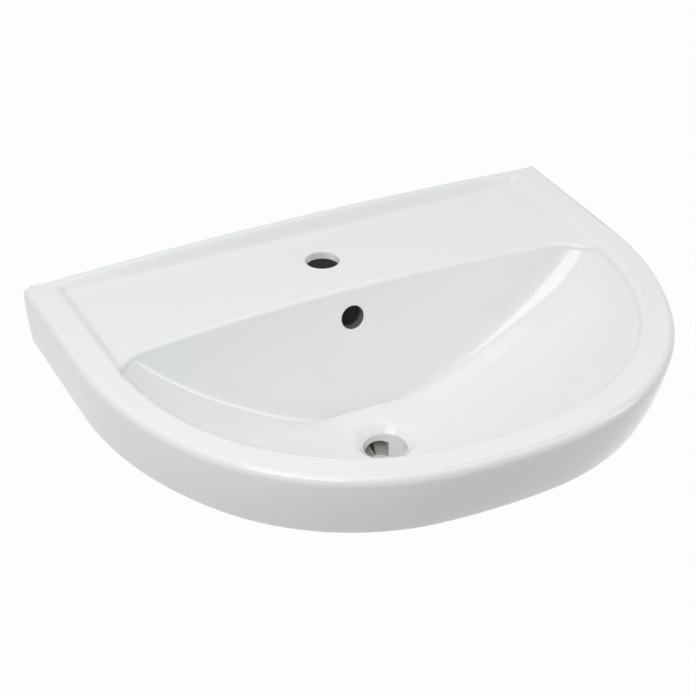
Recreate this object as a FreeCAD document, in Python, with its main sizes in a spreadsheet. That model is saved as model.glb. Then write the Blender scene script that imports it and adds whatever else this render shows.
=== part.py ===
import FreeCAD, Part
import math
import os
import Sketcher
from FreeCAD import Rotation, Vector

# A wall hung basin of vitreous china with its two sets of wall fixings.
#
# Frame: +Z up, +Y into the wall, the user stands at -Y.  The wall face is the plane y = 0 and the
# origin is midway between the axes of the two wall bolts.  Inside basin_body all levels are
# measured from the flat top of the rim, and the body's own placement lifts them to this frame.
# Heights below the rim and distances in front of the wall are given as positive sizes.

SIZES = (
    # rim, seen from above: straight sides, then a side, a shoulder and a front arc that run into
    # each other.  Each arc is given by its bow: its radius as a share of the one that an ellipse
    # of the same width and reach has there, so the outline keeps its character at any size.
    ("basin_width", 600.0, "rim, side to side"),
    ("basin_depth", 470.0, "rim, wall to front"),
    ("rim_straight", 158.0, "straight side of the rim, from the wall"),
    ("rim_side_bow", 1.159, "side arc"),
    ("rim_shoulder_bow", 0.8335, "shoulder arc, against the mean of width and reach"),
    ("rim_front_bow", 1.924, "front arc"),
    ("rim_round", 8.0, "rounding of the rim's outer edge"),
    ("rim_above_bolts", 70.0, "rim top above the bolt axes"),
    # apron and underside
    ("apron_height", 74.0, "rim top to underside at the wall"),
    ("apron_fall", 7.5, "further fall of the underside at the front"),
    ("foot_side_inset", 7.0, "underside inside the rim at the sides"),
    ("foot_front_inset", 30.0, "underside behind the rim at the front"),
    ("foot_straight", 142.0, "straight side of the underside"),
    ("foot_side_bow", 1.115, "as for the rim"),
    ("foot_shoulder_bow", 0.8122, "as for the rim"),
    ("foot_front_bow", 2.117, "as for the rim"),
    ("foot_round", 14.0, "rounding of the underside's edge"),
    ("waist_share", 0.35, "share of the foot's inset that is reached at half height"),
    # thickness of the ware
    ("shell_wall", 11.0, "apron and bowl"),
    ("floor_wall", 10.0, "closed underside"),
    ("deck_wall", 9.0, "tap deck"),
    ("back_wall", 11.0, "back of the ware, against the wall"),
    ("plate_extra", 3.0, "fixing plate, thicker than the back by this"),
    # tap deck and the upstand behind it
    ("rim_side", 34.0, "flat rim, at the sides"),
    ("rim_front", 36.4, "flat rim, at the front"),
    ("deck_drop", 8.0, "deck below the rim top"),
    ("upstand_top", 6.5, "flat top of the upstand"),
    ("upstand_slope", 7.5, "run of the slope in front of it"),
    ("upstand_rise", 6.7, "crown of the upstand above the rim"),
    ("upstand_run", 1.0, "run of the upstand's ends past the rounded mouth"),
    ("upstand_bevel", 1.5, "bevel of the upstand's front edge, on the flat top"),
    ("mouth_round", 7.0, "rounding of the rim's inner edge"),
    # bowl: the mouth is an oval of eight arcs, and its contours shrink towards the drain
    ("bowl_widest", 167.0, "wall to the mouth's widest line"),
    ("bowl_side_bow", 1.201, "as for the rim"),
    ("bowl_shoulder_bow", 0.8862, "as for the rim"),
    ("bowl_front_bow", 1.428, "as for the rim"),
    ("bowl_back", 133.0, "wall to the middle of the bowl's back edge"),
    ("bowl_back_arc", 1760.0, "radius of the back edge's bow"),
    ("bowl_corner", 38.0, "corner between the back wall and the side, at the mouth"),
    ("bowl_corner_gain", 130.0, "growth of that corner on the way down, against its contour"),
    ("bowl_roll", 5.0, "rounding of the bowl's back edge"),
    ("bowl_depth", 144.0, "rim top to the floor beside the drain"),
    ("bowl_fullness", 0.86, "power of the bowl's profile"),
    ("bowl_lean", 0.2, "run of the back wall for each millimetre down"),
    ("bowl_heel", 135.0, "reach of the floor behind the drain, scaled like the contours"),
    # outlet
    ("drain_from_wall", 214.0, "wall to the drain's axis"),
    ("waste_bore", 46.0, "outlet hole"),
    ("waste_lip", 2.0, "ledge round the outlet hole"),
    ("waste_dish", 10.0, "fall of the funnel from the floor to that ledge"),
    ("waste_slope", 42.0, "slope of the funnel, in degrees"),
    ("boss_wall", 10.0, "wall of the outlet boss"),
    ("boss_length", 39.0, "lip of the drain to the seat for the back nut"),
    # overflow hole and the duct behind the bowl
    ("overflow_bore", 25.0, "overflow hole"),
    ("overflow_depth", 40.0, "rim top to the overflow hole's axis"),
    ("duct_width", 30.0, "inside of the overflow duct, side to side"),
    ("duct_room", 13.0, "inside of the overflow duct, front to back"),
    ("duct_wall", 8.0, "wall of the overflow duct"),
    ("duct_knee", 13.0, "turn of the duct's near side, above the drain"),
    ("duct_port", 18.0, "height of the duct's port in the outlet"),
    ("duct_port_drop", 11.0, "lip of the drain to the port"),
    # tap hole
    ("tap_bore", 35.0, "tap hole"),
    ("tap_from_wall", 70.0, "wall to the tap hole's axis"),
    # service opening under the deck, and the fixing plate
    ("window_rim", 30.0, "underside left at each side of the opening"),
    ("window_reach", 17.0, "opening's front beyond the bowl's back edge"),
    ("window_corner", 15.0, "corners of the opening"),
    ("plate_side", 55.0, "plate beyond each bolt's axis"),
    ("plate_below", 36.0, "plate below the bolts' axes"),
    ("plate_corner", 20.0, "corners of the plate"),
    ("fixing_bore", 16.0, "holes for the wall bolts"),
    # wall fixings
    ("bolt_spacing", 280.0, "between the two bolts"),
    ("bolt_size", 10.0, "metric thread of the hanger bolt"),
    ("bolt_shank", 8.0, "wood thread of the hanger bolt"),
    ("bolt_spare", 18.0, "bolt beyond the nut"),
    ("bolt_inside", 65.0, "bolt in the wall"),
    ("bolt_point", 8.0, "length of the bolt's point"),
    ("bolt_end_bevel", 1.2, "bevel of the metric end"),
    ("plug_wall", 3.0, "wall of the plug round the bolt"),
    ("plug_end", 5.0, "plug beyond the bolt's point"),
    ("plug_groove", 0.8, "depth of the plug's rings"),
    ("plug_collar", 20.0, "plain part of the plug at its mouth"),
    ("sleeve_play", 0.4, "bush in the basin's hole, each side"),
    ("sleeve_gap", 2.0, "bush's sleeve short of the wall face"),
    ("flange_ring", 7.0, "width of the bush's flange round the hole"),
    ("flange_thick", 4.0, "flange of the bush"),
    ("washer_ring", 5.5, "width of the washer round the bolt"),
    ("washer_thick", 2.0, "washer"),
    ("nut_wall", 3.5, "flats of the hex nut beyond the thread"),
    ("nut_thick", 8.0, "hex nut"),
    ("bolt_play", 0.25, "bolt in its bush and washer, each side"),
)

# Contours of the bowl, as shares of the mouth, from the deck to the drain.
CAVITY_SHARES = (1.0, 0.998, 0.994, 0.988, 0.96, 0.91, 0.83, 0.72, 0.58, 0.44, 0.31, 0.18)
JACKET_SHARES = (0.975, 0.91, 0.83, 0.72, 0.58, 0.44, 0.31, 0.18)
PLUG_RINGS = 5
OVERRUN = "2"  # the ware is built this far past the wall face and then trimmed flat

RIM_HALF = "(Sizes.basin_width / 2)"
FOOT_HALF = "(Sizes.basin_width / 2 - Sizes.foot_side_inset)"
FOOT_FRONT = "(Sizes.basin_depth - Sizes.foot_front_inset)"
MOUTH_HALF = "(Sizes.basin_width / 2 - Sizes.rim_side)"
MOUTH_FRONT = "(Sizes.basin_depth - Sizes.rim_front)"
CEILING = "(Sizes.deck_drop + Sizes.deck_wall)"
PLATE_WALL = "(Sizes.back_wall + Sizes.plate_extra)"
DRAIN_LIP = "(Sizes.bowl_depth + Sizes.waste_dish)"
BOSS_FOOT = f"({DRAIN_LIP} + Sizes.boss_length)"
PORT_TOP = f"({DRAIN_LIP} + Sizes.duct_port_drop)"
BUSH_BORE = "(Sizes.bolt_size / 2 + Sizes.bolt_play)"
FOOT_TILT = "atan(Sizes.apron_fall / Sizes.basin_depth)"


# ---------------------------------------------------------------- sheet and sketches

def make_sheet(doc):
    """Writes each driving size to its own named cell."""
    sheet = doc.addObject("Spreadsheet::Sheet", "Sizes")
    for row, (alias, value, note) in enumerate(SIZES, start=1):
        sheet.set(f"A{row}", alias)
        sheet.set(f"B{row}", str(value))
        sheet.set(f"C{row}", note)
        sheet.setAlias(f"B{row}", alias)
    doc.recompute()
    return sheet


def origin_plane(body, role):
    for feature in body.Origin.OriginFeatures:
        if feature.Role == role:
            return feature
    raise ValueError(role)


def sketch_on(body, name, role, level):
    """An empty sketch on a plane parallel to one of the body's origin planes."""
    sketch = body.newObject("Sketcher::SketchObject", name)
    sketch.AttachmentSupport = (origin_plane(body, role), [""])
    sketch.MapMode = "FlatFace"
    sketch.setExpression("AttachmentOffset.Base.z", level)
    return sketch


def value(sketch, formula):
    return float(sketch.evalExpression(formula))


def drive(sketch, kind, name, where, formula):
    """Adds a dimension and ties it to a formula on the sheet."""
    index = sketch.addConstraint(Sketcher.Constraint(kind, *where, value(sketch, formula)))
    sketch.renameConstraint(index, name)
    sketch.setExpression("Constraints." + name, formula)


def circle(centre, radius):
    return Part.Circle(centre, Vector(0, 0, 1), radius)


def mirrored(point):
    return Vector(-point.x, point.y, 0)


def joining_centre(first, second, radius):
    """Centre, on the +X side, of the circle that touches two larger circles from inside."""
    reach_1 = first[1] - radius
    reach_2 = second[1] - radius
    line = second[0] - first[0]
    length = line.Length
    along = (reach_1 ** 2 - reach_2 ** 2 + length ** 2) / (2 * length)
    across = math.sqrt(reach_1 ** 2 - along ** 2)
    axis = Vector(line.x / length, line.y / length, 0)
    normal = Vector(-axis.y, axis.x, 0)
    middle = first[0] + axis * along
    return max(middle + normal * across, middle - normal * across, key=lambda point: point.x)


def angle_between(here, there):
    """Direction, from the first circle's centre, of the point where two nested circles touch."""
    ray = there[0] - here[0] if here[1] > there[1] else here[0] - there[0]
    return math.atan2(ray.y, ray.x)


def add_arcs(sketch, circles, start=None, end=None):
    """Adds touching arcs anticlockwise; with no start and end the chain closes on itself."""
    closed = start is None
    count = len(circles)
    for index, (centre, radius) in enumerate(circles):
        before = circles[index - 1]
        after = circles[(index + 1) % count]
        first = start if index == 0 and not closed else angle_between((centre, radius), before)
        last = end if index == count - 1 and not closed else angle_between((centre, radius), after)
        sketch.addGeometry(Part.ArcOfCircle(circle(centre, radius), first, last))
    joints = count if closed else count - 1
    for index in range(joints):
        pair = (index, 2, (index + 1) % count, 1)
        sketch.addConstraint(Sketcher.Constraint("Tangent", *pair))


def d_outline(sketch, half, back, straight, front, side_arc, shoulder_arc, front_arc):
    """A D: a straight back, straight sides, and five arcs round the front."""
    side = (Vector(value(sketch, f"{half} - ({side_arc})"), -value(sketch, straight), 0),
            value(sketch, side_arc))
    nose = (Vector(0, value(sketch, f"{front_arc} - ({front})"), 0), value(sketch, front_arc))
    shoulder_radius = value(sketch, shoulder_arc)
    shoulder = (joining_centre(side, nose, shoulder_radius), shoulder_radius)
    left = [(mirrored(centre), radius) for centre, radius in (side, shoulder)]
    add_arcs(sketch, left + [nose, shoulder, side], math.pi, 2 * math.pi)

    edge = value(sketch, half)
    back_y = -value(sketch, back)
    turn_y = -value(sketch, straight)
    corners = (Vector(edge, turn_y, 0), Vector(edge, back_y, 0),
               Vector(-edge, back_y, 0), Vector(-edge, turn_y, 0))
    for begin, finish in zip(corners, corners[1:]):
        sketch.addGeometry(Part.LineSegment(begin, finish))
    sketch.addConstraint(Sketcher.Constraint("Tangent", 4, 2, 5, 1))
    sketch.addConstraint(Sketcher.Constraint("Coincident", 5, 2, 6, 1))
    sketch.addConstraint(Sketcher.Constraint("Coincident", 6, 2, 7, 1))
    sketch.addConstraint(Sketcher.Constraint("Tangent", 7, 2, 0, 1))
    sketch.addConstraint(Sketcher.Constraint("Vertical", 5))
    sketch.addConstraint(Sketcher.Constraint("Horizontal", 6))
    sketch.addConstraint(Sketcher.Constraint("Vertical", 7))
    sketch.addConstraint(Sketcher.Constraint("PointOnObject", 2, 3, -2))
    sketch.addConstraint(Sketcher.Constraint("Symmetric", 0, 3, 4, 3, -2))
    sketch.addConstraint(Sketcher.Constraint("Equal", 0, 4))
    sketch.addConstraint(Sketcher.Constraint("Equal", 1, 3))
    drive(sketch, "Radius", "side_arc", (4,), side_arc)
    drive(sketch, "Radius", "shoulder_arc", (3,), shoulder_arc)
    drive(sketch, "Radius", "front_arc", (2,), front_arc)
    drive(sketch, "DistanceX", "half", (-1, 1, 5, 1), half)
    drive(sketch, "DistanceY", "straight", (4, 3, -1, 1), straight)
    drive(sketch, "DistanceY", "nose_centre", (-1, 1, 2, 3), f"{front_arc} - ({front})")
    drive(sketch, "DistanceY", "back", (5, 2, -1, 1), back)


def oval_outline(sketch, half, widest, back, front, radii):
    """A smooth oval of eight arcs: back, two corners, two sides, two shoulders and the front."""
    side_arc, shoulder_arc, front_arc, back_arc, corner = radii
    side = (Vector(value(sketch, f"{half} - ({side_arc})"), -value(sketch, widest), 0),
            value(sketch, side_arc))
    nose = (Vector(0, value(sketch, f"{front_arc} - ({front})"), 0), value(sketch, front_arc))
    rear = (Vector(0, -value(sketch, f"{back} + {back_arc}"), 0), value(sketch, back_arc))
    shoulder = (joining_centre(side, nose, value(sketch, shoulder_arc)), value(sketch, shoulder_arc))
    bend = (joining_centre(side, rear, value(sketch, corner)), value(sketch, corner))
    left = [(mirrored(centre), radius) for centre, radius in (bend, side, shoulder)]
    add_arcs(sketch, left + [nose, shoulder, side, bend, rear])

    sketch.addConstraint(Sketcher.Constraint("PointOnObject", 3, 3, -2))
    sketch.addConstraint(Sketcher.Constraint("PointOnObject", 7, 3, -2))
    sketch.addConstraint(Sketcher.Constraint("Symmetric", 1, 3, 5, 3, -2))
    sketch.addConstraint(Sketcher.Constraint("Equal", 0, 6))
    sketch.addConstraint(Sketcher.Constraint("Equal", 1, 5))
    sketch.addConstraint(Sketcher.Constraint("Equal", 2, 4))
    drive(sketch, "Radius", "side_arc", (5,), side_arc)
    drive(sketch, "Radius", "shoulder_arc", (4,), shoulder_arc)
    drive(sketch, "Radius", "front_arc", (3,), front_arc)
    drive(sketch, "Radius", "back_arc", (7,), back_arc)
    drive(sketch, "Radius", "corner", (6,), corner)
    drive(sketch, "DistanceX", "side_centre", (-1, 1, 5, 3), f"{half} - ({side_arc})")
    drive(sketch, "DistanceY", "widest", (5, 3, -1, 1), widest)
    drive(sketch, "DistanceY", "nose_centre", (-1, 1, 3, 3), f"{front_arc} - ({front})")
    drive(sketch, "DistanceY", "rear_centre", (7, 3, -1, 1), f"{back} + {back_arc}")


def polygon(sketch, corners):
    """A closed run of lines; each corner is a pair of formulas, measured from the sketch's origin."""
    points = [Vector(value(sketch, across), value(sketch, up), 0) for across, up in corners]
    count = len(points)
    for index in range(count):
        sketch.addGeometry(Part.LineSegment(points[index], points[(index + 1) % count]))
    for index in range(count):
        sketch.addConstraint(Sketcher.Constraint("Coincident", index, 2, (index + 1) % count, 1))
    for index, (across, up) in enumerate(corners):
        drive(sketch, "DistanceX", f"across_{index}", (-1, 1, index, 1), across)
        drive(sketch, "DistanceY", f"up_{index}", (-1, 1, index, 1), up)


def round_hole(sketch, across, up, width):
    """A circle of the given width about a point."""
    centre = Vector(value(sketch, across), value(sketch, up), 0)
    index = sketch.addGeometry(circle(centre, value(sketch, width) / 2))
    drive(sketch, "Diameter", f"width_{index}", (index,), width)
    drive(sketch, "DistanceX", f"across_{index}", (-1, 1, index, 3), across)
    drive(sketch, "DistanceY", f"up_{index}", (-1, 1, index, 3), up)


# ---------------------------------------------------------------- features

def volume_of(feature):
    return feature.Shape.Volume if feature is not None and not feature.Shape.isNull() else 0.0


def finish(body, feature, adds):
    """Recomputes and makes sure that the feature really added or removed material."""
    before = volume_of(feature.BaseFeature)
    body.Document.recompute()
    change = volume_of(feature) - before
    if adds and change <= 0 or not adds and change >= 0:
        raise RuntimeError(f"{feature.Name} changed the volume by {change:.1f}")
    return feature


def loft(body, name, sketches, adds=True):
    kind = "PartDesign::AdditiveLoft" if adds else "PartDesign::SubtractiveLoft"
    feature = body.newObject(kind, name)
    feature.Profile = sketches[0]
    feature.Sections = sketches[1:]
    return finish(body, feature, adds)


def pad(body, name, sketch, length, both_ways=False):
    feature = body.newObject("PartDesign::Pad", name)
    feature.Profile = sketch
    feature.SideType = "Symmetric" if both_ways else "One side"
    feature.setExpression("Length", length)
    return finish(body, feature, True)


def pocket(body, name, sketch, length, both_ways=False, flip=False):
    feature = body.newObject("PartDesign::Pocket", name)
    feature.Profile = sketch
    feature.SideType = "Symmetric" if both_ways else "One side"
    feature.Reversed = flip
    feature.setExpression("Length", length)
    return finish(body, feature, False)


def turn(body, name, sketch, adds=True):
    """Revolves a profile about the vertical line through the sketch's origin."""
    kind = "PartDesign::Revolution" if adds else "PartDesign::Groove"
    feature = body.newObject(kind, name)
    feature.Profile = sketch
    feature.ReferenceAxis = (sketch, ["V_Axis"])
    return finish(body, feature, adds)


def round_edges(body, name, radius, chosen):
    """Rounds the edges of the body's tip that the test picks."""
    base = body.Tip
    names = [f"Edge{index}" for index, edge in enumerate(base.Shape.Edges, start=1) if chosen(edge)]
    feature = body.newObject("PartDesign::Fillet", name)
    feature.Base = (base, names)
    feature.setExpression("Radius", radius)
    body.Document.recompute()
    return feature


# ---------------------------------------------------------------- the basin

def arcs(kind, half, reach):
    """Side, shoulder and front radius of an outline of a given half width and reach."""
    return (f"(Sizes.{kind}_side_bow * {reach}^2 / {half})",
            f"(Sizes.{kind}_shoulder_bow * sqrt({reach} * {half}))",
            f"(Sizes.{kind}_front_bow * {half}^2 / {reach})")


RIM_ARCS = arcs("rim", RIM_HALF, "(Sizes.basin_depth - Sizes.rim_straight)")
FOOT_ARCS = arcs("foot", FOOT_HALF, f"({FOOT_FRONT} - Sizes.foot_straight)")
MOUTH_ARCS = arcs("bowl", MOUTH_HALF, f"({MOUTH_FRONT} - Sizes.bowl_widest)")


def tilted(sketch, share):
    """Leans a level of the apron by a share of the underside's fall towards the front."""
    sketch.AttachmentOffset = FreeCAD.Placement(Vector(0, 0, 0), Rotation(Vector(1, 0, 0), 1))
    sketch.setExpression("AttachmentOffset.Rotation.Angle", f"{share} * {FOOT_TILT}")


def apron_level(body, name, level, share, inset):
    """One D section of the apron: share 0 is the rim's outline and 1 the underside's."""
    sketch = sketch_on(body, name, "XY_Plane", level)
    if share != "0":
        tilted(sketch, share)
    back = f"-{OVERRUN}" if inset == "0" else "Sizes.back_wall"
    mix = [f"({rim} + {share} * ({foot} - {rim}) - {inset})" for rim, foot in zip(RIM_ARCS, FOOT_ARCS)]
    d_outline(sketch,
              f"({RIM_HALF} - {share} * Sizes.foot_side_inset - {inset})",
              back,
              f"(Sizes.rim_straight + {share} * (Sizes.foot_straight - Sizes.rim_straight))",
              f"(Sizes.basin_depth - {share} * Sizes.foot_front_inset - {inset})",
              *mix)
    return sketch


def bowl_level(share):
    """Depth of a contour below the rim: steep at the mouth and flat at the drain."""
    rise = f"((1 - {share}^2) / (1 - {CAVITY_SHARES[-1]}^2))"
    return ("(Sizes.deck_drop + (Sizes.bowl_depth - Sizes.deck_drop)"
            f" * {rise}^Sizes.bowl_fullness)")


def edge_roll(below):
    """How far the bowl's back edge rolls back towards the wall, a quarter circle below the deck."""
    left = f"max(0; Sizes.bowl_roll - {below})"
    return f"(Sizes.bowl_roll - sqrt(Sizes.bowl_roll^2 - ({left})^2))"


def bowl_contour(body, name, share, wall):
    """One contour of the bowl, or of its jacket when a wall is given, scaled about the drain."""
    thick = "Sizes.shell_wall" if wall else "0"
    drop = f"Sizes.floor_wall * (1 - {share})" if wall else "0"
    level = bowl_level(share)
    sketch = sketch_on(body, name, "XY_Plane", f"-({level} + {drop})")
    drain = "Sizes.drain_from_wall"
    half = f"({MOUTH_HALF} * {share} + {thick})"
    widest = f"({drain} + {share} * (Sizes.bowl_widest - {drain}))"
    front = f"({drain} + {share} * ({MOUTH_FRONT} - {drain}) + {thick})"
    roll = "0" if wall else edge_roll(f"({level} - Sizes.deck_drop)")
    back = (f"(max(Sizes.bowl_back + Sizes.bowl_lean * {level} - {roll}; "
            f"{drain} - {share} * Sizes.bowl_heel) - {thick})")
    corner = (f"({share} * (Sizes.bowl_corner + Sizes.bowl_corner_gain * (1 - {share}))"
              f" + {thick})")
    radii = [f"({share} * {arc} + {thick})" for arc in MOUTH_ARCS]
    radii += [f"(Sizes.bowl_back_arc + {thick})", corner]
    oval_outline(sketch, half, widest, back, front, radii)
    return sketch


def is_rim_edge(edge):
    """The rim's top outer edge, apart from the stretch against the wall."""
    low = edge.BoundBox.ZMin
    return abs(low) < 0.01 and abs(edge.BoundBox.ZMax) < 0.01 and edge.BoundBox.YMin < -1


def foot_edge_test(shape):
    """A test for the underside's edges, apart from the stretch against the wall."""
    floor = min(shape.Faces, key=lambda face: face.CenterOfMass.z)
    return lambda edge: (any(edge.isSame(other) for other in floor.Edges)
                         and edge.BoundBox.YMin < -1)


def make_casting(body):
    """The D-shaped ware: rim, apron and closed underside round a hollow."""
    loft(body, "casting", [
        apron_level(body, "rim_outline", "0", "0", "0"),
        apron_level(body, "waist_outline", "-Sizes.apron_height / 2", "Sizes.waist_share", "0"),
        apron_level(body, "foot_outline", "-Sizes.apron_height", "1", "0"),
    ])
    round_edges(body, "rim_rounding", "Sizes.rim_round", is_rim_edge)
    round_edges(body, "foot_rounding", "Sizes.foot_round", foot_edge_test(body.Tip.Shape))
    loft(body, "hollow", [
        apron_level(body, "hollow_top", f"-{CEILING}", "Sizes.waist_share", "Sizes.shell_wall"),
        apron_level(body, "hollow_floor", "-(Sizes.apron_height - Sizes.floor_wall)", "1",
                    "Sizes.shell_wall"),
    ], adds=False)


def bowl_contours(body, name, shares, wall):
    return [bowl_contour(body, f"{name}_{index}", share, wall) for index, share in enumerate(shares)]


def rounded_box(sketch, left, right, low, high, radius):
    """A rectangle with rounded corners."""
    reach = [value(sketch, side) for side in (left, low, right, high)]
    turn = value(sketch, radius)
    x_in = (reach[0] + turn, reach[2] - turn)
    y_in = (reach[1] + turn, reach[3] - turn)
    corners = ((x_in[0], y_in[0]), (x_in[1], y_in[0]), (x_in[1], y_in[1]), (x_in[0], y_in[1]))
    for index, (across, up) in enumerate(corners):
        start = math.pi + index * math.pi / 2
        bend = circle(Vector(across, up, 0), turn)
        sketch.addGeometry(Part.ArcOfCircle(bend, start, start + math.pi / 2))
    for index in range(4):
        begin = sketch.Geometry[index].EndPoint
        finish_at = sketch.Geometry[(index + 1) % 4].StartPoint
        sketch.addGeometry(Part.LineSegment(begin, finish_at))
    for index in range(4):
        sketch.addConstraint(Sketcher.Constraint("Tangent", index, 2, 4 + index, 1))
        sketch.addConstraint(Sketcher.Constraint("Tangent", 4 + index, 2, (index + 1) % 4, 1))
        level_line = "Horizontal" if index % 2 == 0 else "Vertical"
        sketch.addConstraint(Sketcher.Constraint(level_line, 4 + index))
    for index in range(1, 4):
        sketch.addConstraint(Sketcher.Constraint("Equal", 0, index))
    drive(sketch, "Radius", "corner", (0,), radius)
    drive(sketch, "DistanceY", "low", (-1, 1, 4, 1), low)
    drive(sketch, "DistanceX", "right", (-1, 1, 5, 1), right)
    drive(sketch, "DistanceY", "high", (-1, 1, 6, 1), high)
    drive(sketch, "DistanceX", "left", (-1, 1, 7, 1), left)


def make_window(body):
    """Opens the underside behind the bowl, for the fixings and the tap's connections."""
    sketch = sketch_on(body, "window_outline", "XY_Plane",
                       "-(Sizes.apron_height - Sizes.floor_wall * 1.5)")
    side = f"({RIM_HALF} - Sizes.window_rim)"
    rounded_box(sketch, f"-{side}", side, "-(Sizes.bowl_back + Sizes.window_reach)",
                "-(Sizes.back_wall + Sizes.plate_extra / 2)", "Sizes.window_corner")
    pocket(body, "window", sketch, "Sizes.floor_wall * 2 + Sizes.apron_fall")


def make_plate(body):
    """The lower part of the back, which carries the fixing holes."""
    sketch = sketch_on(body, "plate_outline", "XZ_Plane", f"-{OVERRUN}")
    side = "(Sizes.bolt_spacing / 2 + Sizes.plate_side)"
    rounded_box(sketch, f"-{side}", side, "-(Sizes.rim_above_bolts + Sizes.plate_below)",
                f"-({CEILING} - Sizes.deck_wall / 2)", "Sizes.plate_corner")
    pad(body, "plate", sketch, f"{PLATE_WALL} + {OVERRUN}")


def duct_line(depth, inset):
    """Distance from the wall of a line that leans with the bowl's back wall."""
    return f"-(Sizes.bowl_back - Sizes.shell_wall - {inset} + Sizes.bowl_lean * {depth})"


def make_duct_body(body):
    """The solid from which the overflow duct is hollowed: down the bowl's back to the boss."""
    sketch = sketch_on(body, "duct_outline", "YZ_Plane", "0")
    inset = "(Sizes.duct_room + Sizes.duct_wall)"
    top = f"({CEILING} - Sizes.deck_wall / 4)"
    knee = "(Sizes.bowl_depth - Sizes.duct_knee + Sizes.duct_room)"
    foot = f"({BOSS_FOOT} - 2)"
    polygon(sketch, [
        (duct_line(top, inset), f"-{top}"),
        (duct_line(knee, inset), f"-{knee}"),
        ("-(Sizes.drain_from_wall - Sizes.waste_bore / 2)", f"-{foot}"),
        ("-Sizes.drain_from_wall", f"-{foot}"),
        ("-Sizes.drain_from_wall", f"-{DRAIN_LIP}"),
        (duct_line(top, "0"), f"-{top}"),
    ])
    pad(body, "duct_body", sketch, "Sizes.duct_width + 2 * Sizes.duct_wall", both_ways=True)


def make_waste_seat(body):
    """The funnel round the outlet hole; behind the hole it runs up to the foot of the back wall."""
    sketch = sketch_on(body, "waste_seat_section", "XZ_Plane", "Sizes.drain_from_wall")
    lip = "(Sizes.waste_bore / 2 + Sizes.waste_lip)"
    foot = "(Sizes.bowl_back + Sizes.bowl_lean * Sizes.bowl_depth)"
    reach = f"(Sizes.drain_from_wall - {foot} - {lip})"
    above = f"({DRAIN_LIP} - {reach} * tan(Sizes.waste_slope))"
    polygon(sketch, [
        ("0", f"-{DRAIN_LIP}"),
        (lip, f"-{DRAIN_LIP}"),
        (f"{lip} + {reach}", f"-{above}"),
        ("0", f"-{above}"),
    ])
    turn(body, "waste_seat", sketch, adds=False)


def make_duct(body):
    """Hollows the overflow duct, from behind the overflow hole to its port in the outlet."""
    sketch = sketch_on(body, "duct_void_outline", "YZ_Plane", "0")
    top = "(Sizes.overflow_depth - Sizes.duct_width / 2)"
    near_knee = "(Sizes.bowl_depth - Sizes.duct_knee)"
    far_knee = f"({near_knee} + Sizes.duct_room * 0.6)"
    mouth = "-(Sizes.drain_from_wall - Sizes.waste_bore * 0.4)"
    polygon(sketch, [
        (duct_line(top, "0"), f"-{top}"),
        (duct_line(top, "Sizes.duct_room"), f"-{top}"),
        (duct_line(far_knee, "Sizes.duct_room"), f"-{far_knee}"),
        (mouth, f"-({PORT_TOP} + Sizes.duct_port)"),
        (mouth, f"-{PORT_TOP}"),
        (duct_line(near_knee, "0"), f"-{near_knee}"),
    ])
    pocket(body, "duct", sketch, "Sizes.duct_width", both_ways=True)


def make_boss(body):
    """The outlet boss under the bowl; its top end stays inside the ware."""
    sketch = sketch_on(body, "boss_outline", "XY_Plane", f"-{BOSS_FOOT}")
    round_hole(sketch, "0", "-Sizes.drain_from_wall", "Sizes.waste_bore + 2 * Sizes.boss_wall")
    pad(body, "boss", sketch, "Sizes.boss_length + Sizes.waste_dish / 2")


def lies_on(edge, outline):
    """Whether an edge lies on one of the lines of a level outline at the rim top."""
    middle = Part.Vertex(edge.valueAt((edge.FirstParameter + edge.LastParameter) / 2))
    return min(middle.distToShape(line)[0] for line in outline) < 0.01


def make_deck(body):
    """Sinks the deck and the bowl's mouth below the rim in one D-shaped step."""
    sketch = sketch_on(body, "deck_outline", "XY_Plane", "0")
    d_outline(sketch, MOUTH_HALF, "Sizes.upstand_top", "Sizes.bowl_widest", MOUTH_FRONT,
              *MOUTH_ARCS)
    pocket(body, "deck", sketch, "Sizes.deck_drop")
    outline = [edge.toShape() for edge in sketch.Geometry]
    round_edges(body, "mouth_rounding", "Sizes.mouth_round", lambda edge: lies_on(edge, outline))


def upstand_section(body, name, station, crown):
    sketch = sketch_on(body, name, "YZ_Plane", station)
    sunk = "-(Sizes.deck_drop + Sizes.deck_wall / 4)"
    foot = "-(Sizes.upstand_top + Sizes.upstand_slope)"
    bevel = "(Sizes.upstand_bevel / Sizes.upstand_slope / 2)"
    polygon(sketch, [
        (OVERRUN, sunk),
        (OVERRUN, crown),
        ("-(Sizes.upstand_top - Sizes.upstand_bevel)", crown),
        (f"-(Sizes.upstand_top + Sizes.upstand_slope * {bevel})",
         f"{crown} - ({crown} + Sizes.deck_drop) * {bevel}"),
        (foot, "-Sizes.deck_drop"),
        (foot, sunk),
    ])
    return sketch


def make_upstand(body):
    """The crowned strip along the wall, with a slope down to the deck."""
    end = f"({MOUTH_HALF} + Sizes.mouth_round + Sizes.upstand_run)"
    loft(body, "upstand", [
        upstand_section(body, "upstand_left", f"-{end}", "0"),
        upstand_section(body, "upstand_crown", "0", "Sizes.upstand_rise"),
        upstand_section(body, "upstand_right", end, "0"),
    ])


def make_wall_face(body):
    """Trims the whole back to one flat face against the wall."""
    sketch = sketch_on(body, "wall_face_outline", "XZ_Plane", "0")
    low = f"-({BOSS_FOOT} + Sizes.deck_wall)"
    high = "Sizes.upstand_rise + Sizes.deck_wall"
    polygon(sketch, [("-Sizes.basin_width", low), ("Sizes.basin_width", low),
                     ("Sizes.basin_width", high), ("-Sizes.basin_width", high)])
    pocket(body, "wall_face", sketch, f"2 * {OVERRUN}")


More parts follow.
